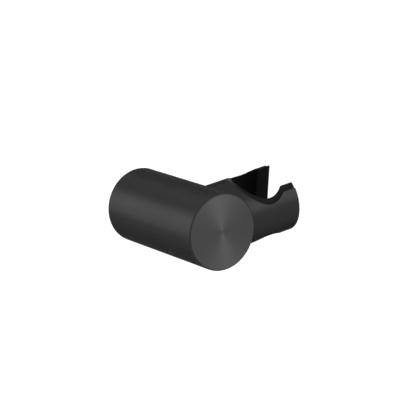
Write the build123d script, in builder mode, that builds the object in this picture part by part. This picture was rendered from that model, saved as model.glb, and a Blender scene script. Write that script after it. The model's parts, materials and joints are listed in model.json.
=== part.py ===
from build123d import *
import os
from math import cos, radians, sin, sqrt, tan

# Hand shower holder, in millimetres. The wall is the plane y = 0 with +Y into it, and +Z is up.
# The body stands out along -Y, and the arm with the cradle points along +X.
# The origin is the centre of the wall face.

# Cradle: the tapered socket for the hose cone, its liner and the arm round it
socket_diameter = 20.5
socket_taper = 4.0
socket_lean = 18.5
slot_width = 15.2
slot_taper = 2.5
liner_wall = 3.0
slot_lining = 3.35
liner_gap = 0.05
liner_corner = 1.0
pocket_corner = 2.5
rim_setback = 0.5
rim_chamfer = 0.3
jaw_length = 14.5
jaw_wall = 2.5
cut_break = 0.2
arm_chamfer = 0.3

# Swivel: a shoulder screw with its washers and spring
shoulder_diameter = 7.0
shoulder_clearance = 0.05
thread_diameter = 5.0
thread_length = 11.0
thread_clearance = 0.05
thread_run_out = 3.0
friction_washer_thickness = 0.8
friction_washer_diameter = 20.0
arm_web = 4.4
spring_thickness = 0.5
spring_height = 1.0
thrust_washer_thickness = 0.8
thrust_washer_diameter = 11.0
washer_clearance = 0.1
head_diameter = 10.4
head_height = 3.6
head_chamfer = 0.4
head_key = 4.0
head_key_depth = 2.0
head_clearance = 0.4
counterbore_clearance = 0.3
spigot_length = 1.6
spigot_clearance = 0.1
seal_section = 1.5
seal_wall = 2.0
seal_clearance = 0.05

# Body: a bar turned and bored, with a round seat milled in its side for the arm
seat_clearance = 0.3
seat_wall = 1.4
seat_lip = 2.3
seat_web = 6.4
seat_break = 0.25
front_wall = 1.8
bore_wall = 4.0
front_chamfer = 0.5
wall_chamfer = 0.3
screw_head_room = 13.0

# Wall boss and the grub screw that locks the body on it
boss_length = 14.0
boss_clearance = 0.1
boss_chamfer = 0.8
wall_hole_diameter = 4.5
countersink_diameter = 9.0
countersink_edge = 1.4
countersink_angle = 90
grub_height = 8.0
grub_diameter = 5.0
grub_recess = 0.6
grub_key = 2.5
grub_key_depth = 2.0
grub_point_gap = 0.1
dimple_depth = 1.5

# Sizes that follow
pocket_diameter = socket_diameter + 2 * (liner_wall + liner_gap)
pocket_slot_width = slot_width + 2 * (slot_lining + liner_gap)
arm_radius = pocket_diameter / 2 + jaw_wall
rim_radius = arm_radius - rim_setback
seat_radius = arm_radius + seat_clearance
body_radius = seat_radius + seat_wall
bore_radius = body_radius - bore_wall
boss_radius = bore_radius - boss_clearance
wall_hole_spacing = 2 * (boss_radius - countersink_edge) - countersink_diameter
seal_radius = arm_radius - seal_wall - seal_clearance - seal_section / 2
bore_depth = boss_length + screw_head_room
arm_axis_y = -(bore_depth + seat_web + seat_radius)
body_length = seat_radius + front_wall - arm_axis_y

# Stations along the arm, from the seat floor in the body to the arm's end
seat_floor = sqrt(body_radius**2 - seat_radius**2) - seat_lip
arm_root = seat_floor + friction_washer_thickness
spring_seat = arm_root + arm_web
washer_seat = spring_seat + spring_height
head_seat = washer_seat + thrust_washer_thickness
head_top = head_seat + head_height
spigot_end = head_top + head_clearance
socket_x = spigot_end + spigot_length + pocket_diameter / 2
arm_end = socket_x + jaw_length

# Planes: the body and the arm are drawn as half sections beside their axes, and the cradle along its lean
lean = radians(socket_lean)
up_socket = (0, -sin(lean), cos(lean))
across_socket = (0, cos(lean), sin(lean))
arm_axis = Axis((0, arm_axis_y, 0), (1, 0, 0))
body_section = Plane(origin=(0, 0, 0), x_dir=(0, -1, 0), z_dir=(-1, 0, 0))
arm_section = Plane(origin=(0, arm_axis_y, 0), x_dir=(1, 0, 0), z_dir=(0, -1, 0))
socket_plane = Plane(origin=(socket_x, arm_axis_y, 0), x_dir=(1, 0, 0), z_dir=up_socket)


def across_arm(x):
    """Plane square to the arm's axis at a station, turned with the cradle."""
    return Plane(origin=(x, arm_axis_y, 0), x_dir=across_socket, z_dir=(1, 0, 0))


def keyhole(diameter, width, corner):
    """Socket circle that opens into a slot, which runs out past the arm's end, with its two noses rounded."""
    slot_reach = 2 * jaw_length
    Circle(diameter / 2)
    with Locations((slot_reach / 2, 0)):
        Rectangle(slot_reach, width)
    fillet(vertices().group_by(Axis.X)[0], corner)


def on_round(radius):
    """Test for a face that lies on a cylinder of the given radius."""
    return lambda face: face.geom_type == GeomType.CYLINDER and abs(face.radius - radius) < 0.001


# Body: turned bar, bored from the wall end, with the arm's seat and the two tapped holes
with BuildPart() as body:
    with BuildSketch(body_section):
        Polygon(
            (0, bore_radius),
            (0, body_radius - wall_chamfer),
            (wall_chamfer, body_radius),
            (body_length - front_chamfer, body_radius),
            (body_length, body_radius - front_chamfer),
            (body_length, 0),
            (bore_depth, 0),
            (bore_depth, bore_radius),
            align=None,
        )
    revolve(axis=Axis.Y)
    with BuildSketch(across_arm(seat_floor)):
        Circle(seat_radius)
    extrude(amount=body_radius, mode=Mode.SUBTRACT)
    seat_rim = body.edges().filter_by(GeomType.BSPLINE)
    chamfer(seat_rim, seat_break)
    with BuildSketch(across_arm(seat_floor)):
        Circle(thread_diameter / 2 + thread_clearance)
    extrude(amount=-(thread_length + thread_run_out), mode=Mode.SUBTRACT)
    with BuildSketch(Plane.XY.offset(-body_radius)):
        with Locations((0, -grub_height)):
            Circle(grub_diameter / 2 + thread_clearance)
    extrude(amount=body_radius, mode=Mode.SUBTRACT)

# Wall boss: turned disc with two countersunk holes and a conical dimple for the grub screw's point
with BuildPart() as wall_boss:
    with BuildSketch(body_section):
        Polygon(
            (0, 0),
            (0, boss_radius),
            (boss_length - boss_chamfer, boss_radius),
            (boss_length, boss_radius - boss_chamfer),
            (boss_length, 0),
            align=None,
        )
    revolve(axis=Axis.Y)
    with Locations(Plane(origin=(0, -boss_length, 0), x_dir=(1, 0, 0), z_dir=(0, -1, 0))):
        with GridLocations(wall_hole_spacing, 0, 2, 1):
            CounterSinkHole(
                wall_hole_diameter / 2, countersink_diameter / 2, boss_length, countersink_angle
            )
    with Locations((0, -grub_height, -boss_radius)):
        Cone(2 * dimple_depth, 0, 2 * dimple_depth, mode=Mode.SUBTRACT)

# Grub screw: cone point in the boss's dimple, hexagon key in its outer end
with BuildPart() as grub_screw:
    grub_radius = grub_diameter / 2
    grub_bottom = -body_radius + grub_recess
    grub_tip = -(boss_radius - dimple_depth + grub_point_gap)
    with BuildSketch(Plane(origin=(0, -grub_height, 0), x_dir=(1, 0, 0), z_dir=(0, -1, 0))):
        Polygon(
            (0, grub_bottom),
            (grub_radius, grub_bottom),
            (grub_radius, grub_tip - grub_radius),
            (0, grub_tip),
            align=None,
        )
    revolve(axis=Axis((0, -grub_height, 0), (0, 0, 1)))
    with BuildSketch(Plane.XY.offset(grub_bottom)):
        with Locations((0, -grub_height)):
            RegularPolygon(grub_key / 2, 6, major_radius=False)
    extrude(amount=grub_key_depth, mode=Mode.SUBTRACT)

# Arm: round bar with the keyhole pocket, the pivot bore and its counterbore, and a groove for the seal
with BuildPart() as holder_arm:
    seal_groove_depth = seal_section + 2 * seal_clearance - friction_washer_thickness
    counterbore_radius = thrust_washer_diameter / 2 + counterbore_clearance
    with BuildSketch(across_arm(arm_root)):
        Circle(arm_radius)
    extrude(amount=arm_end - arm_root)
    chamfer(holder_arm.edges().filter_by(GeomType.CIRCLE).sort_by(Axis.X)[-1], arm_chamfer)
    with BuildSketch(socket_plane):
        keyhole(pocket_diameter, pocket_slot_width, pocket_corner)
    extrude(amount=2 * arm_radius, both=True, mode=Mode.SUBTRACT)
    pocket_rim = holder_arm.faces().filter_by(on_round(arm_radius)).edges().filter_by(GeomType.BSPLINE)
    chamfer(pocket_rim, cut_break)
    with BuildSketch(across_arm(spring_seat)):
        Circle(counterbore_radius)
    extrude(amount=socket_x - spring_seat, mode=Mode.SUBTRACT)
    with BuildSketch(across_arm(arm_root)):
        Circle(shoulder_diameter / 2 + shoulder_clearance)
    extrude(amount=spring_seat - arm_root, mode=Mode.SUBTRACT)
    with BuildSketch(across_arm(arm_root)):
        Circle(seal_radius + seal_section / 2 + seal_clearance)
        Circle(seal_radius - seal_section / 2 - seal_clearance, mode=Mode.SUBTRACT)
    extrude(amount=seal_groove_depth, mode=Mode.SUBTRACT)

# Liner: moulded sleeve in the pocket, its rims a little inside the arm's round, with the tapered socket,
# the hose slot and a spigot behind it
with BuildPart() as cradle_liner:
    spigot_radius = counterbore_radius - spigot_clearance
    spigot_root = socket_x - socket_diameter / 2 - liner_wall / 3
    socket_flare = arm_radius * tan(radians(socket_taper))
    slot_flare = arm_radius * tan(radians(slot_taper))
    with BuildSketch(socket_plane):
        keyhole(pocket_diameter - 2 * liner_gap, pocket_slot_width - 2 * liner_gap, pocket_corner)
    extrude(amount=arm_radius, both=True)
    with Locations(socket_plane):
        Cone(
            socket_diameter / 2 - socket_flare,
            socket_diameter / 2 + socket_flare,
            2 * arm_radius,
            mode=Mode.SUBTRACT,
        )
    with BuildSketch(across_arm(socket_x)):
        Polygon(
            (slot_width / 2 - slot_flare, -arm_radius),
            (slot_width / 2 + slot_flare, arm_radius),
            (-slot_width / 2 - slot_flare, arm_radius),
            (-slot_width / 2 + slot_flare, -arm_radius),
            align=None,
        )
    extrude(amount=2 * jaw_length, mode=Mode.SUBTRACT)
    fillet(cradle_liner.edges().filter_by(GeomType.HYPERBOLA), liner_corner)
    with BuildSketch(across_arm(spigot_end)):
        Circle(rim_radius)
    extrude(amount=arm_end - spigot_end, mode=Mode.INTERSECT)
    with BuildSketch(across_arm(spigot_end)):
        Circle(spigot_radius)
    extrude(amount=spigot_root - spigot_end)
    chamfer(cradle_liner.faces().filter_by(on_round(rim_radius)).edges(), rim_chamfer)

# Pivot screw: shoulder clamped against the seat floor, head under the liner
with BuildPart() as pivot_screw:
    thread_radius = thread_diameter / 2
    thread_end = seat_floor - thread_length
    with BuildSketch(arm_section):
        Polygon(
            (thread_end, 0),
            (thread_end, thread_radius - head_chamfer),
            (thread_end + head_chamfer, thread_radius),
            (seat_floor, thread_radius),
            (seat_floor, shoulder_diameter / 2),
            (head_seat, shoulder_diameter / 2),
            (head_seat, head_diameter / 2),
            (head_top - head_chamfer, head_diameter / 2),
            (head_top, head_diameter / 2 - head_chamfer),
            (head_top, 0),
            align=None,
        )
    revolve(axis=arm_axis)
    with BuildSketch(across_arm(head_top)):
        RegularPolygon(head_key / 2, 6, major_radius=False)
    extrude(amount=-head_key_depth, mode=Mode.SUBTRACT)

# Friction washer: flat disc between the seat floor and the arm's root
with BuildPart() as friction_washer:
    with BuildSketch(across_arm(seat_floor)):
        Circle(friction_washer_diameter / 2)
        Circle(shoulder_diameter / 2 + washer_clearance, mode=Mode.SUBTRACT)
    extrude(amount=friction_washer_thickness)

# Disc spring: shallow cone, its outer edge on the arm and its inner edge on the thrust washer
with BuildPart() as disc_spring:
    spring_inner = shoulder_diameter / 2 + washer_clearance
    spring_outer = thrust_washer_diameter / 2
    with BuildSketch(arm_section):
        Polygon(
            (spring_seat, spring_outer),
            (spring_seat + spring_thickness, spring_outer),
            (washer_seat, spring_inner),
            (washer_seat - spring_thickness, spring_inner),
            align=None,
        )
    revolve(axis=arm_axis)

# Thrust washer: flat washer under the screw's head
with BuildPart() as thrust_washer:
    with BuildSketch(across_arm(washer_seat)):
        Circle(thrust_washer_diameter / 2)
        Circle(shoulder_diameter / 2 + washer_clearance, mode=Mode.SUBTRACT)
    extrude(amount=thrust_washer_thickness)

# Seal ring: lathe-cut rubber ring of square section, in the groove of the arm's root face
with BuildPart() as seal_ring:
    with BuildSketch(across_arm(seat_floor + seal_clearance)):
        Circle(seal_radius + seal_section / 2)
        Circle(seal_radius - seal_section / 2, mode=Mode.SUBTRACT)
    extrude(amount=seal_section)

pieces = {
    "body": body,
    "wall_boss": wall_boss,
    "grub_screw": grub_screw,
    "holder_arm": holder_arm,
    "cradle_liner": cradle_liner,
    "pivot_screw": pivot_screw,
    "friction_washer": friction_washer,
    "disc_spring": disc_spring,
    "thrust_washer": thrust_washer,
    "seal_ring": seal_ring,
}

os.makedirs("parts", exist_ok=True)
for name, piece in pieces.items():
    piece.part.label = name
    export_step(piece.part, f"parts/{name}.step")
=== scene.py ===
import json

import bmesh
import bpy
import numpy as np
from mathutils import Matrix

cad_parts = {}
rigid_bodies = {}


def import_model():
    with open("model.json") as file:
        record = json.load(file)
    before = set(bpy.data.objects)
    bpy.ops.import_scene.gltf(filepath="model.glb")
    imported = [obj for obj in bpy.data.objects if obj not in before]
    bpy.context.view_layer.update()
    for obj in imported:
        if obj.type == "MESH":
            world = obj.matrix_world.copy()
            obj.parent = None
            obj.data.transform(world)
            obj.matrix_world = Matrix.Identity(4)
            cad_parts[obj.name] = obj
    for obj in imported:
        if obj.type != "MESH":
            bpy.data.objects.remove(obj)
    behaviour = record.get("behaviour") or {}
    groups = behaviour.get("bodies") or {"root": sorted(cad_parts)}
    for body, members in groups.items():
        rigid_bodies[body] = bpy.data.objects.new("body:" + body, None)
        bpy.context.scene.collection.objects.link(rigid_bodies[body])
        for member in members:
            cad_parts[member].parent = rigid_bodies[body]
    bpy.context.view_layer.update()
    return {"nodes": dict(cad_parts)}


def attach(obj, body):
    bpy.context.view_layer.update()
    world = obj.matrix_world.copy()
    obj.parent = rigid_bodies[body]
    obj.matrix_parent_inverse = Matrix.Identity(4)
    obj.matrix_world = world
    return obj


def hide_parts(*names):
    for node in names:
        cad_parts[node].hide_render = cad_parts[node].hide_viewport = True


bpy.data.batch_remove(list(bpy.data.objects))
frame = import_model()


# Wall boss: a disc turned from brass bar, drilled and countersunk for two wall screws. It goes on the
# wall first. Bare brass is a dull gold here, and it keeps the fine rings of the facing tool on its back
# and its rim.
def linear(code):
    """sRGB hex to linear RGBA: a channel c gives c/12.92 up to 0.04045, and ((c + 0.055)/1.055)^2.4 above
    it."""
    srgb = np.array([int(code[i:i + 2], 16) for i in (1, 3, 5)]) / 255
    return (*np.where(srgb <= 0.04045, srgb / 12.92, ((srgb + 0.055) / 1.055) ** 2.4), 1.0)


def add(tree, kind, settings={}, values={}, links={}):
    """Adds one shader node: its own settings, the values of its free sockets, and what feeds the others.
    It gives the node's outputs."""
    node = tree.nodes.new("ShaderNode" + kind)
    for name, value in settings.items():
        setattr(node, name, value)
    for socket, value in values.items():
        node.inputs[socket].default_value = value
    for socket, source in links.items():
        tree.links.new(source, node.inputs[socket])
    return node.outputs


def lathe_finish(
    name, light, dark, rough, pull, axis, centre, pitch, depth, cloud, glance="#ffffff", metal=1.0
):
    """Metal finished on a lathe, with its sizes in millimetres. The tool leaves rings round the axis, so
    gloss is pulled across them: a fan on a face, a band on a side. Ring number = (distance from the axis
    + distance along it) / pitch, and 1-D noise on it gives each ring its own depth. Real rings are about
    0.05 mm apart, which is too fine to show, so they are drawn 4 to 8 times as coarse. `cloud` is the
    size of the slow patches between the light and the dark tone, and `glance` tints what is seen at a
    flat angle. `metal` is the share that reflects as metal; a coat's pigment scatters the rest, without a
    gloss of its own."""
    material = bpy.data.materials.new(name)
    material.use_nodes = True
    tree = material.node_tree
    tree.nodes.clear()
    along = np.array([axis == letter for letter in "XYZ"], float)
    to_centre = tuple(-np.array(centre) / 1000)
    ring_spread = 0.03
    quarter_turn = 0.25
    place = add(tree, "TexCoord")["Object"]
    here = add(tree, "Mapping", values={"Location": to_centre}, links={"Vector": place})[0]
    flat = add(tree, "VectorMath", {"operation": "MULTIPLY"}, {1: tuple(1 - along)}, {0: here})[0]
    radius = add(tree, "VectorMath", {"operation": "LENGTH"}, links={0: flat})["Value"]
    run = add(tree, "VectorMath", {"operation": "DOT_PRODUCT"}, {1: tuple(along)}, {0: here})["Value"]
    path = add(tree, "Math", {"operation": "ADD"}, links={0: radius, 1: run})[0]
    ring = add(tree, "Math", {"operation": "DIVIDE"}, {1: pitch / 1000}, {0: path})[0]
    one_a_ring = {"Scale": 1.0, "Detail": 3.0}
    groove = add(tree, "TexNoise", {"noise_dimensions": "1D"}, one_a_ring, {"W": ring})[0]
    cloud_size = {"Scale": 1000 / cloud, "Detail": 2.0}
    patch = add(tree, "TexNoise", values=cloud_size, links={"Vector": here})[0]
    # Inputs 6 and 7 and output 2 of a Mix node are the ones for colours
    tone = add(tree, "Mix", {"data_type": "RGBA"}, {6: linear(dark), 7: linear(light)}, {0: patch})[2]
    rough_range = {"To Min": rough - ring_spread, "To Max": rough + ring_spread}
    matt = add(tree, "MapRange", values=rough_range, links={"Value": groove})[0]
    ring_depth = {"Strength": 1.0, "Distance": depth / 1000}
    relief = add(tree, "Bump", values=ring_depth, links={"Height": groove})[0]
    round_axis = add(tree, "Tangent", {"direction_type": "RADIAL", "axis": axis})[0]
    surface = add(
        tree,
        "BsdfPrincipled",
        values={
            "Metallic": metal,
            "Specular IOR Level": 0.5 if metal == 1.0 else 0.0,
            "Anisotropic": pull,
            "Anisotropic Rotation": quarter_turn,
            "Specular Tint": linear(glance),
        },
        links={"Base Color": tone, "Roughness": matt, "Normal": relief, "Tangent": round_axis},
    )[0]
    add(tree, "OutputMaterial", links={"Surface": surface})
    return material


body_axis = (0, 0, 0)
turned_brass = lathe_finish(
    "turned_brass",
    light="#ac8a50",
    dark="#997641",
    rough=0.5,
    pull=0.5,
    axis="Y",
    centre=body_axis,
    pitch=0.25,
    depth=0.004,
    cloud=12,
)
frame["nodes"]["wall_boss"].material_slots[0].material = turned_brass


# Body: brass bar turned to 35 mm and faced, bored from the wall end, with a round seat milled in its
# side. The whole of it is circular brushed and coated satin black, so the face shows a fan of light and
# the side a soft band. It slides over the boss.
def points(*coordinates):
    """Coordinates spread to one shape and put together as points."""
    return np.stack(np.broadcast_arrays(*coordinates), -1)


def parts_of(grid):
    """The coordinates of a grid of points, one array each."""
    return np.moveaxis(grid, -1, 0)


def soften(corners, reach):
    """Breaks the inner corners of an outline with parabolas: corner + reach ((1-t)^2 back + t^2 on),
    where back and on are the directions of its two sides, and one more point on each side at twice the
    reach keeps the flats flat."""
    corners = np.asarray(corners, float)
    corner = corners[1:-1, None]
    back = corners[:-2, None] - corner
    on = corners[2:, None] - corner
    back = back / np.linalg.norm(back, axis=-1, keepdims=True)
    on = on / np.linalg.norm(on, axis=-1, keepdims=True)
    share = np.linspace(0, 1, 5)
    weight = np.concatenate([[2], (1 - share) ** 2, [0]]).reshape((-1,) + (1,) * (corners.ndim - 1))
    broken = corner + reach * (weight * back + weight[::-1] * on)
    return np.concatenate([corners[:1], broken.reshape((-1,) + corners.shape[1:]), corners[-1:]])


def broken_edge(first, corner, last):
    """Five rows of points on the parabola from first to last that heads for the corner at both ends:
    (1-t)^2 first + 2t(1-t) corner + t^2 last."""
    share = np.linspace(0, 1, 5)[:, None, None]
    return (1 - share) ** 2 * first + 2 * share * (1 - share) * corner + share ** 2 * last


def turned(outline, angles):
    """Outline turned about the body's axis: (along, radius) at angle a is (radius cos a, -along, radius
    sin a)."""
    along, radius = np.asarray(outline, float).T[..., None]
    return points(radius * np.cos(angles), -along, radius * np.sin(angles))


def around(grid, top, bottom, left, right):
    """A grid without the window between two of its rows and two of its columns, as four smaller grids."""
    return [
        grid[: top + 1],
        grid[bottom:],
        grid[top: bottom + 1, : left + 1],
        grid[top: bottom + 1, right:],
    ]


def hole_in_bar(bar, hole, across, along, ease, floor):
    """A round hole square into a round bar, as (across, along, height) about the hole's axis. Its edge is
    at height sqrt(bar^2 - across^2). Grids: the frame from the edge to the window's border, in growing
    shares on the unrolled bar; the edge broken by a parabola of reach `ease`; and the hole's wall down to
    the floor."""
    border = np.concatenate(
        [
            points(across, along[0]),
            points(across[-1], along)[1:],
            points(across[::-1], along[-1])[1:],
            points(across[0], along[::-1])[1:],
        ]
    )
    angle = np.arctan2(border[:, 1] / np.ptp(along), border[:, 0] / np.ptp(across))
    edge_across, edge_along = hole * np.cos(angle), hole * np.sin(angle)
    height = np.sqrt(bar ** 2 - edge_across ** 2)
    outward = points(edge_across, edge_along * bar / height)
    outward /= np.linalg.norm(outward, axis=-1, keepdims=True)
    lip = points(bar * np.arcsin(edge_across / bar), edge_along) + ease * outward
    growing_shares = np.linspace(0, 1, 10)[:, None, None] ** 1.6
    arc, run = parts_of(lip + (border - lip) * growing_shares)
    frame_grid = points(bar * np.sin(arc / bar), run, bar * np.cos(arc / bar))
    climb = edge_across * edge_along / height
    slope = np.hypot(hole, climb)
    down = angle + ease * climb / slope / hole
    foot = points(hole * np.cos(down), hole * np.sin(down), height - ease * hole / slope)
    edge = broken_edge(frame_grid[0], points(edge_across, edge_along, height), foot)
    wall_shares = np.array([0, 0.06, 0.3, 0.65, 1])[:, None, None]
    wall = foot + (points(edge_across, edge_along, floor) - foot) * wall_shares
    return frame_grid, edge, wall


def skin(name, grids):
    """One closed mesh in metres from grids of points in millimetres: four neighbours make a face, points
    that grids share are merged within a thousandth of a millimetre, and edges sharper than 35 degrees
    stay sharp."""
    merge_within = 1e-6
    sharp_above = np.radians(35)
    starts = np.cumsum([0] + [grid.shape[0] * grid.shape[1] for grid in grids])
    faces = []
    for grid, start in zip(grids, starts):
        index = start + np.arange(grid.shape[0] * grid.shape[1]).reshape(grid.shape[:2])
        quads = [index[:-1, :-1], index[:-1, 1:], index[1:, 1:], index[1:, :-1]]
        faces.append(np.stack(quads, -1).reshape(-1, 4))
    places = np.concatenate([grid.reshape(-1, 3) for grid in grids]) / 1000
    mesh = bpy.data.meshes.new(name)
    mesh.from_pydata(places, [], np.concatenate(faces).tolist())
    shell = bmesh.new()
    shell.from_mesh(mesh)
    bmesh.ops.remove_doubles(shell, verts=shell.verts, dist=merge_within)
    bmesh.ops.recalc_face_normals(shell, faces=shell.faces)
    shell.to_mesh(mesh)
    shell.free()
    mesh.shade_smooth()
    mesh.set_sharp_from_angle(angle=sharp_above)
    piece = bpy.data.objects.new(name, mesh)
    bpy.context.scene.collection.objects.link(piece)
    return piece


def lay_finishes(piece, main, second, has_second):
    """Gives a piece its main finish, and the second one on the faces that a test picks by the coordinates
    of their middles, in millimetres."""
    piece.data.materials.append(main)
    piece.data.materials.append(second)
    middles = np.empty(3 * len(piece.data.polygons))
    piece.data.polygons.foreach_get("center", middles)
    picked = has_second(*(1000 * middles.reshape(-1, 3)).T)
    piece.data.polygons.foreach_set("material_index", picked.astype(np.int32))


body_radius = 17.5
body_length = 67.4
wall_chamfer = 0.3
wall_break = 0.08
front_chamfer = 0.5
front_break = 0.1
face_border = 1.2
bore_radius = 13.5
bore_depth = 27.0
seat_radius = 16.1
seat_floor = 4.558571
seat_along = 49.5
seat_break = 0.25
seat_mid_ring = 9.0
screw_hole_radius = 2.55
screw_hole_end = -9.441429
grub_hole_radius = 2.55
grub_along = 8.0
grub_break = 0.15

# Angles round the body, rows along it, and windows for the two holes (rows, then columns, first and last)
turn = np.radians(np.linspace(-180, 180, 145))
grub_rows = np.linspace(4, 12, 11)
seat_rows = np.linspace(32.8, 66.2, 35)
wall_half = np.concatenate([[1, 2.5], grub_rows, [16, 20]])
front_half = np.concatenate([[20, 26], seat_rows])
bore_rows = np.concatenate([[0.5, 2.2], grub_rows, [17, 22, bore_depth]])
grub_window = (2, 12, 31, 41)
seat_window = (2, 36, 36, 108)
grub_angles = np.radians(np.linspace(-12.5, 12.5, 11))
seat_angles = np.radians(np.linspace(-90, 90, 73))


def side(rows, radius):
    """Rows of points round the body's axis at one radius."""
    return turned(points(rows, radius), turn)


seat_hole = hole_in_bar(
    body_radius, seat_radius, body_radius * seat_angles, seat_rows - seat_along, seat_break, seat_floor
)
seat = [points(height, -(seat_along + along), across) for across, along, height in map(parts_of, seat_hole)]
seat_foot = seat[-1][-1]
seat_turn = np.arctan2(-seat_foot[:, 1] - seat_along, seat_foot[:, 2])
seat_outline = np.array(
    [
        (seat_floor, seat_radius),
        (seat_floor, seat_mid_ring),
        (seat_floor, screw_hole_radius),
        (screw_hole_end, screw_hole_radius),
        (screw_hole_end, 0),
    ]
)
seat_x, seat_r = seat_outline.T[..., None]
seat_bottom = points(seat_x, -(seat_along + seat_r * np.sin(seat_turn)), seat_r * np.cos(seat_turn))
grub_floor = np.sqrt(bore_radius ** 2 - grub_hole_radius ** 2)
grub_mouth = hole_in_bar(
    body_radius, grub_hole_radius, body_radius * grub_angles, grub_rows - grub_along, grub_break, grub_floor
)
grub_exit = hole_in_bar(
    bore_radius, grub_hole_radius, bore_radius * grub_angles, grub_rows - grub_along, 0.0, grub_floor
)[0]
grub_mouth[-1][-1] = grub_exit[0]
grub_hole = [
    points(across, -(grub_along + along), -height)
    for across, along, height in map(parts_of, (*grub_mouth, grub_exit))
]
wall_end = soften(
    [
        (bore_rows[0], bore_radius),
        (0, bore_radius),
        (0, body_radius - wall_chamfer),
        (wall_chamfer, body_radius),
        (wall_half[0], body_radius),
    ],
    wall_break,
)
front_end = soften(
    [
        (front_half[-1], body_radius),
        (body_length - front_chamfer, body_radius),
        (body_length, body_radius - front_chamfer),
        (body_length, body_radius - face_border),
    ],
    front_break,
)
front_face = points(body_length, np.linspace(body_radius - face_border, 0, 8))
bore_end = points(bore_depth, np.linspace(bore_radius, 0, 4))
turned_body = skin(
    "turned_body",
    [
        *around(side(wall_half, body_radius), *grub_window),
        *around(side(front_half, body_radius), *seat_window),
        *around(side(bore_rows, bore_radius), *grub_window),
        turned(wall_end, turn),
        turned(front_end, turn),
        turned(front_face, turn),
        turned(bore_end, turn),
        *seat,
        seat_bottom,
        *grub_hole,
    ],
)

# Satin black coat over circular brushing: dark, with one soft band of light. The metal shows through it
# in part, its pigment scatters the rest, and the tint of the glance keeps it dark at flat angles.
brushed_black_body = lathe_finish(
    "brushed_black_coat_body",
    light="#393939",
    dark="#343434",
    rough=0.44,
    pull=0.45,
    axis="Y",
    centre=body_axis,
    pitch=0.3,
    depth=0.003,
    cloud=20,
    glance="#929292",
    metal=0.63,
)

# The same coat on the faced end, with coarser tool marks and drawn as all metal. Its lighter tone is
# painted light, for the brighter light on the face; its rings give it a fan of light.
black_face_painted_light = lathe_finish(
    "turned_black_coat_face_painted_light",
    light="#4f4f4f",
    dark="#494949",
    rough=0.46,
    pull=0.72,
    axis="Y",
    centre=body_axis,
    pitch=0.4,
    depth=0.004,
    cloud=20,
    glance="#b4b4b4",
)
face_slack = 0.01
# The faced end takes the lighter copy of the coat, whose tone is painted light
lay_finishes(
    turned_body,
    brushed_black_body,
    black_face_painted_light,
    lambda x, y, z: y < face_slack - body_length,
)
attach(turned_body, "wall_body")
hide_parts("body")

# Swivel hardware: stainless shoulder screw, disc spring and thrust washer clamp the arm in its seat on an
# acetal washer, inside a rubber ring. Steel keeps its turning rings; acetal and rubber are moulded and
# nearly even.
arm_axis = (0, -seat_along, 0)
turned_stainless = lathe_finish(
    "turned_stainless",
    light="#c4c3c0",
    dark="#b2b1ae",
    rough=0.28,
    pull=0.5,
    axis="X",
    centre=arm_axis,
    pitch=0.2,
    depth=0.003,
    cloud=4,
)
for node_name in ("pivot_screw", "disc_spring", "thrust_washer"):
    frame["nodes"][node_name].material_slots[0].material = turned_stainless


def moulded(name, light, dark, rough, gloss, grain, depth):
    """Moulded plastic or rubber, with its sizes in millimetres: the spark-eroded tool leaves a fine even
    grain, drawn as 3-D noise of that size, and the tone drifts between two colours over patches forty
    grains wide. Real grain is about 0.05 mm, which is too fine to show, so it is drawn 4 or 5 times as
    coarse."""
    material = bpy.data.materials.new(name)
    material.use_nodes = True
    tree = material.node_tree
    tree.nodes.clear()
    patch = 40 * grain
    grain_spread = 0.06
    place = add(tree, "TexCoord")["Object"]
    grain_size = {"Scale": 1000 / grain, "Detail": 2.0}
    pebble = add(tree, "TexNoise", values=grain_size, links={"Vector": place})[0]
    patch_size = {"Scale": 1000 / patch, "Detail": 1.0}
    drift = add(tree, "TexNoise", values=patch_size, links={"Vector": place})[0]
    tone = add(tree, "Mix", {"data_type": "RGBA"}, {6: linear(dark), 7: linear(light)}, {0: drift})[2]
    rough_range = {"To Min": rough - grain_spread, "To Max": rough + grain_spread}
    matt = add(tree, "MapRange", values=rough_range, links={"Value": pebble})[0]
    grain_depth = {"Strength": 1.0, "Distance": depth / 1000}
    relief = add(tree, "Bump", values=grain_depth, links={"Height": pebble})[0]
    resin = add(
        tree,
        "BsdfPrincipled",
        values={"Specular IOR Level": gloss},
        links={"Base Color": tone, "Roughness": matt, "Normal": relief},
    )[0]
    add(tree, "OutputMaterial", links={"Surface": resin})
    return material


white_acetal = moulded(
    "white_acetal",
    light="#e9e8e3",
    dark="#dddcd6",
    rough=0.4,
    gloss=0.5,
    grain=0.2,
    depth=0.003,
)
frame["nodes"]["friction_washer"].material_slots[0].material = white_acetal
black_rubber = moulded(
    "black_nitrile_rubber",
    light="#161616",
    dark="#101010",
    rough=0.6,
    gloss=0.4,
    grain=0.2,
    depth=0.004,
)
frame["nodes"]["seal_ring"].material_slots[0].material = black_rubber

# Arm: round brass bar brushed and coated like the body, with a keyhole pocket milled through its outer
# end, leaning 18.5 degrees. It is bored for the shoulder screw, and its root runs in the body's seat with
# a thin gap all round.
arm_radius = 15.8
arm_root = 5.358571
arm_end = 44.958571
end_chamfer = 0.3
end_break = 0.08
pocket_radius = 13.3
pocket_half_slot = 11.0
pocket_nose = 2.5
pocket_break = 0.2
socket_x = 30.458571
counterbore_radius = 5.8
bore_of_arm = 3.55
spring_seat = 9.758571
groove_inner = 12.2
groove_outer = 13.8
groove_depth = 0.8
root_mid_ring = 11.0
lean = np.radians(18.5)

# The window at the pocket's back, where the counterbore comes in: half its size, and steps to its border
window_half = 8.0
half_steps = 12


def on_arm(grid):
    """Points as (along the arm, across the cradle, up the cradle) put in the holder's frame: turned by
    the lean about the arm's axis, and moved out to it."""
    along, across, up = parts_of(grid)
    return points(
        along,
        across * np.cos(lean) - up * np.sin(lean) - seat_along,
        across * np.sin(lean) + up * np.cos(lean),
    )


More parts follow.
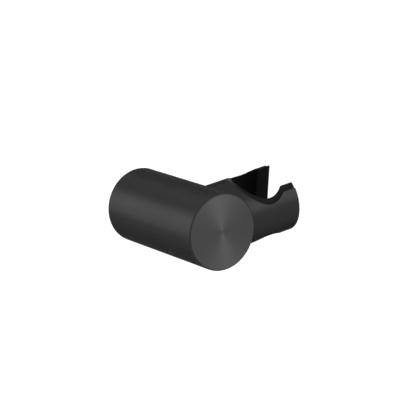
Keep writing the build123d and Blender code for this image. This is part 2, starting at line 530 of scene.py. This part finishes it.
def nose_place(radius, half_slot, nose):
    """Centre of the nose that touches a keyhole's circle and its slot: half_slot + nose across, and
    sqrt((radius + nose)^2 - across^2) along. With them comes the angle at which it touches the circle."""
    across = half_slot + nose
    along = np.sqrt((radius + nose) ** 2 - across ** 2)
    return along, across, np.arctan2(across, along)


def keyhole(station, radius, half_slot, nose, end):
    """Half a keyhole about the socket's centre, from its back at station 0: to 1 along the circle, at
    radius (cos, sin) of an angle; to 2 round the nose, at its centre + nose (cos, sin); to 3 along the
    slot's side, at half_slot across. Sizes may differ from point to point."""
    nose_along, nose_across, touch = nose_place(radius, half_slot, nose)
    circle = np.pi - (np.pi - touch) * np.clip(station, 0, 1)
    bend = np.pi + touch + (np.pi / 2 - touch) * np.clip(station - 1, 0, 1)
    run = nose_along + (end - nose_along) * np.clip(station - 2, 0, 1)
    stretch = [station <= 1, station <= 2]
    along = np.select(stretch, [radius * np.cos(circle), nose_along + nose * np.cos(bend)], run)
    slot_side = half_slot + 0 * run
    across = np.select(stretch, [radius * np.sin(circle), nose_across + nose * np.sin(bend)], slot_side)
    return along, across


# Half of the pocket's edge on the arm's round, from its back to the jaw's chamfered end
pocket_touch = nose_place(pocket_radius, pocket_half_slot, pocket_nose)[2]
back_share = window_half / pocket_radius / (np.pi - pocket_touch)
half_path = np.concatenate(
    [
        back_share * np.tan(np.radians(np.linspace(0, 45, half_steps + 1))),
        np.linspace(back_share, 1, 27)[1:],
        np.linspace(1, 2, 9)[1:],
        np.linspace(2, 3, 9)[1:],
    ]
)
slot_reach = arm_end - 2 * end_chamfer - socket_x
path_along, path_across = keyhole(half_path, pocket_radius, pocket_half_slot, pocket_nose, slot_reach)
jaw_tip = soften(
    [
        (arm_end - 2 * end_chamfer, arm_radius),
        (arm_end - end_chamfer, arm_radius),
        (arm_end, arm_radius - end_chamfer),
        (arm_end, arm_radius - 2 * end_chamfer),
    ],
    end_break,
)[1:-2]
step_along = np.concatenate([[0], np.gradient(path_along)[1:], np.ones(len(jaw_tip))])
step_across = np.concatenate([[1], np.gradient(path_across)[1:], np.zeros(len(jaw_tip))])
path_along = np.concatenate([socket_x + path_along, jaw_tip[:, 0]])
path_across = np.concatenate([path_across, np.full(len(jaw_tip), pocket_half_slot)])
path_radius = np.concatenate([np.full(len(half_path), arm_radius), jaw_tip[:, 1]])
path_up = np.sqrt(path_radius ** 2 - path_across ** 2)

# The edge is broken between a line on the round and a line on the pocket's wall
edge = points(path_along, path_across, path_up)
heading = points(step_along, step_across, -path_across * step_across / path_up)
heading /= np.linalg.norm(heading, axis=-1, keepdims=True)
outwards = points(0, path_across, path_up) / path_radius[:, None]
into_pocket = points(step_across, -step_along, 0) / np.hypot(step_along, step_across)[:, None]
on_round = edge + pocket_break * np.cross(outwards, heading)
on_wall = edge + pocket_break * np.cross(heading, into_pocket)

# Columns over the round between its two edges. One close beside each edge keeps the shading even.
beside_edge = 0.985
sweep = np.concatenate([[1], np.linspace(beside_edge, -beside_edge, 47), [-1]])
round_angle = np.arctan2(on_round[:, 2], on_round[:, 1])[:, None] * sweep
round_radius = path_radius[:, None]
outside = points(on_round[:, :1], round_radius * np.cos(round_angle), round_radius * np.sin(round_angle))
upper_break = broken_edge(outside[:, 0], edge, on_wall)

# The pocket's wall runs from the upper break to the lower one, and mirrors make the four quarters
upside_down, other_side = np.array([1, 1, -1]), np.array([1, -1, 1])
levels = window_half * np.tan(np.radians(np.linspace(45, -45, 2 * half_steps + 1)))
to_window = points(path_along, path_across, window_half) - on_wall
upper_wall = on_wall[:, None] + to_window[:, None] * np.linspace(0, 1, half_steps + 1)[:, None]
middle_wall = points(path_along[:, None], path_across[:, None], levels)
pocket_wall = np.concatenate([upper_wall, middle_wall[:, 1:], (upper_wall * upside_down)[:, -2::-1]], 1)
tip_shares = np.array([0, 0.03, 0.3, 0.65, 1])[:, None, None]
tip_face = outside[-1] + (pocket_wall[-1] - outside[-1]) * tip_shares
tip_face[:, 0] = upper_break[:, -1]
tip_face[:, -1] = upper_break[:, -1] * upside_down
jaw = [outside, upper_break, upper_break * upside_down, tip_face]
whole_wall = np.concatenate([(pocket_wall * other_side)[::-1], pocket_wall[1:]])
back_row = len(path_along) - 1
counterbore = hole_in_bar(
    pocket_radius, counterbore_radius, levels[::-1], levels[::-1], 0.0, socket_x - spring_seat
)
bore_mouth, _, bore_wall = (
    points(socket_x - height, across, along) for across, along, height in map(parts_of, counterbore)
)

# The root, from the counterbore's floor round the seal's groove to the pocket. Its round meets the jaws.
root_outline = np.array(
    [
        (spring_seat, counterbore_radius),
        (spring_seat, bore_of_arm),
        (arm_root, bore_of_arm),
        (arm_root, groove_inner),
        (arm_root + groove_depth, groove_inner),
        (arm_root + groove_depth, groove_outer),
        (arm_root, groove_outer),
        (arm_root, arm_radius),
        (root_mid_ring, arm_radius),
        (socket_x - pocket_radius - 2 * pocket_break, arm_radius),
        (socket_x - pocket_radius - pocket_break, arm_radius),
    ]
)
root_x, root_r = root_outline.T[..., None]
even_columns = np.radians(np.linspace(-90, 270, 2 * len(sweep) - 1))
jaw_columns = np.pi / 2 * np.concatenate([sweep[::-1], 2 - sweep[1:]])
root_turn = np.where(root_r == arm_radius, jaw_columns, even_columns)
root = points(root_x, root_r * np.cos(root_turn), root_r * np.sin(root_turn))
brushed_arm = skin(
    "brushed_arm",
    [
        on_arm(grid)
        for grid in [
            *jaw,
            *(grid * other_side for grid in jaw),
            *around(whole_wall, back_row - half_steps, back_row + half_steps, half_steps, 3 * half_steps),
            bore_mouth,
            bore_wall,
            root,
        ]
    ],
)

# Satin black coat as on the body, brushed round the arm's axis, its band along the arm.
# It is drawn a shade darker than the body, and that darker tone is painted shade.
black_arm_painted_shade = lathe_finish(
    "brushed_black_coat_arm_painted_shade",
    light="#343434",
    dark="#2f2f2f",
    rough=0.4,
    pull=0.45,
    axis="X",
    centre=arm_axis,
    pitch=0.3,
    depth=0.003,
    cloud=20,
    glance="#9a9a9a",
    metal=0.63,
)
brushed_arm.data.materials.append(black_arm_painted_shade)
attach(brushed_arm, "swivel_arm")
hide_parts("holder_arm")

# Cradle liner: a sleeve moulded in matt black acetal and pushed into the pocket, its rims half a
# millimetre inside the arm's round and its jaws rounded at their ends. Its socket tapers for the hose's
# cone, its slot lets the hose pass, and a spigot behind it covers the shoulder screw.
liner_radius = 13.25
liner_half_slot = 10.95
socket_radius = 10.25
socket_half_slot = 7.6
socket_nose = 1.0
socket_rise = np.tan(np.radians(4.0))
slot_rise = np.tan(np.radians(2.5))
rim_radius = 15.3
rim_break = 0.3
rim_depth = 0.12
jaw_round = 0.8
jaw_reach = arm_end - jaw_round - socket_x
spigot_radius = 5.7
spigot_end = 15.558571
spigot_window_half = 6.6


def socket_wall(up):
    """Points of the socket's wall, one for each station of the path. Circle and slot widen with the
    height: radius = socket_radius + up socket_rise, half slot = socket_half_slot + up slot_rise."""
    radius, half_slot = socket_radius + up * socket_rise, socket_half_slot + up * slot_rise
    along, across = keyhole(half_path, radius, half_slot, socket_nose, jaw_reach)
    return points(socket_x + along, across, up)


def height_at_rim(sign):
    """Heights at which the socket's wall meets the rims' round: up = sqrt(rim_radius^2 - across(up)^2),
    solved by repeating it from a first guess."""
    first_guess = 12.0
    repeats = 12
    up = sign * np.full(len(half_path), first_guess)
    for _ in range(repeats):
        up = sign * np.sqrt(rim_radius ** 2 - socket_wall(up)[:, 1] ** 2)
    return up


def rim_middle(inner, outer, sign):
    """Points on the rims' round half way between its two edges: up = sqrt(rim_radius^2 - across^2)."""
    along, across, _ = parts_of((inner + outer) / 2)
    return points(along, across, sign * np.sqrt(rim_radius ** 2 - across ** 2))


# One section for each station: up the socket's wall, over the rim, down the outside, under the lower rim
top, bottom = height_at_rim(1), height_at_rim(-1)
inner_top, inner_bottom = socket_wall(top), socket_wall(bottom)
outer_along, outer_across = keyhole(half_path, liner_radius, liner_half_slot, pocket_nose, jaw_reach)
outer_top = points(socket_x + outer_along, outer_across, np.sqrt(rim_radius ** 2 - outer_across ** 2))
outer_bottom = outer_top * upside_down
spigot_levels = spigot_window_half / window_half * levels
clear_of_rim = 0.08
inner_shares = np.linspace(clear_of_rim, 1 - clear_of_rim, len(spigot_levels))
inner_rows = [socket_wall(bottom + (top - bottom) * share) for share in inner_shares]
outer_rows = [points(socket_x + outer_along, outer_across, level) for level in spigot_levels]
lower_rim, upper_rim = rim_middle(inner_bottom, outer_bottom, -1), rim_middle(inner_top, outer_top, 1)
upper_edge = soften([upper_rim, outer_top, outer_rows[0]], rim_break)[1:-1]
section = np.concatenate(
    [
        soften([lower_rim, inner_bottom, inner_rows[0]], rim_break)[:-1],
        inner_rows,
        soften([inner_rows[-1], inner_top, upper_rim], rim_break)[1:],
        upper_edge,
        outer_rows,
        soften([outer_rows[-1], outer_bottom, lower_rim], rim_break)[1:],
    ]
)

# Each jaw ends in three sections drawn in on a quarter round, and a cap
last = section[:, -1:]
lowest, highest = last.min((0, 1)), last.max((0, 1))
middle = (lowest + highest) / 2
half_across, half_up = (highest - lowest)[1:] / 2
bend = np.radians([30, 60, 90])
drawn_in = jaw_round * (1 - np.cos(bend))
shrink = points(1, 1 - drawn_in / half_across, 1 - drawn_in / half_up)
jaw_end = middle + (last - middle) * shrink + points(jaw_round * np.sin(bend), 0, 0)
section = np.concatenate([section, jaw_end], 1)
half_loop = len(section) // 2
inner_end, outer_end = section[: half_loop + 1, -1], section[half_loop:, -1][::-1]
shares = np.linspace(0, 1, 5)[:, None, None]
cap = inner_end + (outer_end - inner_end) * shares

# The spigot stands in a window of the outside, at the back
section = np.concatenate([(section * other_side)[:, ::-1], section[:, 1:]], 1)
first_level = half_loop + len(upper_edge) + 1
back_column = section.shape[1] // 2
spigot_rows = (first_level, first_level + 2 * half_steps)
spigot_columns = (back_column - half_steps, back_column + half_steps)
back_path = np.concatenate([-half_path[half_steps:0:-1], half_path[: half_steps + 1]])
liner_touch = nose_place(liner_radius, liner_half_slot, pocket_nose)[2]
back_arc = liner_radius * (np.pi - liner_touch) * back_path
spigot = hole_in_bar(liner_radius, spigot_radius, back_arc, spigot_levels[::-1], 0.0, socket_x - spigot_end)
spigot_frame, _, spigot_wall = (
    points(socket_x - height, across, along) for across, along, height in map(parts_of, spigot)
)
spigot_disc = spigot_wall[-1] + (np.array([spigot_end, 0, 0]) - spigot_wall[-1]) * shares
moulded_liner = skin(
    "moulded_liner",
    [
        on_arm(grid)
        for grid in [
            *around(section, *spigot_rows, *spigot_columns),
            cap,
            cap * other_side,
            spigot_frame,
            spigot_wall,
            spigot_disc,
        ]
    ],
)

# Black acetal from one tool, grained alike all over and matt, with next to no gloss. The socket is drawn
# nearly black, as painted shade in its hollow; the rims are a little lighter, as painted light on them.
socket_painted_shade = moulded(
    "black_acetal_socket_painted_shade",
    light="#0f0f0f",
    dark="#0b0b0b",
    rough=0.55,
    gloss=0.02,
    grain=0.25,
    depth=0.004,
)
rim_painted_light = moulded(
    "black_acetal_rim_painted_light",
    light="#1e1e1e",
    dark="#1a1a1a",
    rough=0.6,
    gloss=0.02,
    grain=0.25,
    depth=0.004,
)
# The rims' round takes the lighter copy with painted light; the rest keeps the socket's painted shade
lay_finishes(
    moulded_liner,
    socket_painted_shade,
    rim_painted_light,
    lambda x, y, z: np.hypot(y + seat_along, z) > rim_radius - rim_depth,
)
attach(moulded_liner, "swivel_arm")
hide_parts("cradle_liner")

# Grub screw: M5 socket set screw with a cone point, blackened steel. It locks the body on the boss from
# below, last of all. Oxide black is dark, slightly glossy, and even in tone.
blackened_steel = lathe_finish(
    "blackened_steel",
    light="#2a2a2c",
    dark="#202022",
    rough=0.38,
    pull=0.3,
    axis="Z",
    centre=(0, -grub_along, 0),
    pitch=0.2,
    depth=0.002,
    cloud=3,
)
frame["nodes"]["grub_screw"].material_slots[0].material = blackened_steel

# Stage: a pale floor well below the holder, which hangs on a wall in use, and a plain white surround. The
# surround is white to the eye and in reflections, and a little weaker as light.
floor_half = 4.0
floor_z = -0.22
floor_corners = floor_half * np.array([(-1, -1, 0), (1, -1, 0), (1, 1, 0), (-1, 1, 0)]) + (0, 0, floor_z)
floor_mesh = bpy.data.meshes.new("floor")
floor_mesh.from_pydata(floor_corners, [], [(0, 1, 2, 3)])
floor = bpy.data.objects.new("floor", floor_mesh)
bpy.context.scene.collection.objects.link(floor)
pale_floor = bpy.data.materials.new("pale_floor")
pale_floor.use_nodes = True
floor_tree = pale_floor.node_tree
floor_tree.nodes.clear()
paper = add(
    floor_tree,
    "BsdfPrincipled",
    values={
        "Base Color": linear("#dcdcdc"),
        "Roughness": 0.9,
        "Specular IOR Level": 0.0,
        "Emission Color": linear("#ffffff"),
        "Emission Strength": 0.03,
    },
)[0]
add(floor_tree, "OutputMaterial", links={"Surface": paper})
floor_mesh.materials.append(pale_floor)

surround = bpy.data.worlds.new("white_surround")
bpy.context.scene.world = surround
surround.use_nodes = True
sky = surround.node_tree
sky.nodes.clear()
ray = add(sky, "LightPath")
mirrored = add(
    sky, "Math", {"operation": "MAXIMUM"}, links={0: ray["Is Glossy Ray"], 1: ray["Is Transmission Ray"]}
)[0]
seen = add(sky, "Math", {"operation": "MAXIMUM"}, links={0: ray["Is Camera Ray"], 1: mirrored})[0]
as_light, as_seen = 0.8, 1.0
strength = add(sky, "MapRange", values={"To Min": as_light, "To Max": as_seen}, links={"Value": seen})[0]
air = add(sky, "Background", values={"Color": linear("#ffffff")}, links={"Strength": strength})[0]
add(sky, "OutputWorld", links={"Surface": air})


def stand(name, data, right, up, back, place):
    """A lamp or a camera as an object: its right, up and back directions and its place are its matrix's
    columns."""
    thing = bpy.data.objects.new(name, data)
    bpy.context.scene.collection.objects.link(thing)
    columns = np.column_stack([right, up, back, place])
    thing.matrix_world = Matrix(np.vstack([columns, (0, 0, 0, 1)]))
    return thing


holder_middle = np.array([0.01, -0.036, 0.0])
lamp_distance = 2.0


def softbox(name, direction, width, height, watts):
    """Rectangular lamp along a direction from the holder's middle, turned to face it: its back is that
    direction, its right is level and square to it, and its up is square to both."""
    lamp = bpy.data.lights.new(name, "AREA")
    lamp.shape = "RECTANGLE"
    lamp.size = width
    lamp.size_y = height
    lamp.energy = watts
    back = np.array(direction) / np.linalg.norm(direction)
    right = np.cross((0, 0, 1), back)
    right /= np.linalg.norm(right)
    stand(name, lamp, right, np.cross(back, right), back, holder_middle + lamp_distance * back)


softbox("front_softbox", (0.5, -0.8, 0.3), width=0.9, height=1.3, watts=12.0)
softbox("left_softbox", (-0.57, 0.8, 0.13), width=0.8, height=1.8, watts=26.0)
softbox("overhead_softbox", (0.4, 0.8, 0.5), width=1.8, height=0.8, watts=26.0)

# Camera: the photograph's own view, from the left and above, turned a little on its own axis. It stands far
# off with a long lens, so the perspective is weak.
azimuth, elevation, roll = np.radians([-32.554, 17.804, -7.899])
aim = np.array([0.010614, -0.036094, 0.005996])
distance = 0.837674
back = points(np.sin(azimuth) * np.cos(elevation), -np.cos(azimuth) * np.cos(elevation), np.sin(elevation))
level = points(np.cos(azimuth), np.sin(azimuth), 0)
upright = np.cross(back, level)
right = level * np.cos(roll) + upright * np.sin(roll)
up = upright * np.cos(roll) - level * np.sin(roll)
camera_data = bpy.data.cameras.new("camera")
camera_data.lens = 165.215
camera_data.sensor_width = 36
camera_data.clip_start = 0.05
camera_data.clip_end = 20
bpy.context.scene.camera = stand("camera", camera_data, right, up, back, aim + distance * back)
bpy.context.scene.view_settings.view_transform = "Standard"
